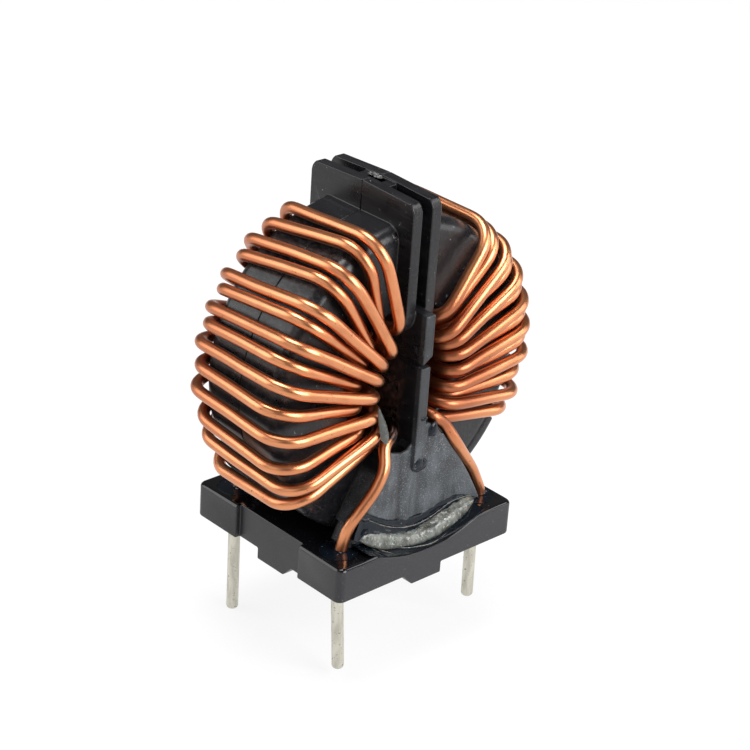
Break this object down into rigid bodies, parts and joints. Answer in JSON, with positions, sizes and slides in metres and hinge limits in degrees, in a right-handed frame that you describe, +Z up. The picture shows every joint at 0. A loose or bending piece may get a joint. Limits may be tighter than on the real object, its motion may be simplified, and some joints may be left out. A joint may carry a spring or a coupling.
{
  "type": "toroidal inductor",
  "caption": "Upright common-mode choke: two copper windings on a cased ferrite ring with partition fins, held in the trough of a square base with wire pins.",
  "frame": {"origin": "centre of the pin pattern on the board plane, where the base's feet stand", "axes": "+X from the left winding to the right one, +Y along the ring's axis towards the back, +Z up from the board"},
  "size_m": [0.0356, 0.0224, 0.0499],
  "materials": {
    "base_plastic": "satin moulded",
    "case_plastic": "satin moulded",
    "ferrite": "sintered",
    "copper_wire": "clear enamel over drawn copper",
    "adhesive": "set clear adhesive"
  },
  "bodies": {
    "root": {"base": "base_plastic", "case_front": "case_plastic", "case_back": "case_plastic", "core": "ferrite", "winding_left": "copper_wire", "winding_right": "copper_wire", "glue_front": "adhesive", "glue_back": "adhesive"}
  },
  "joints": []
}
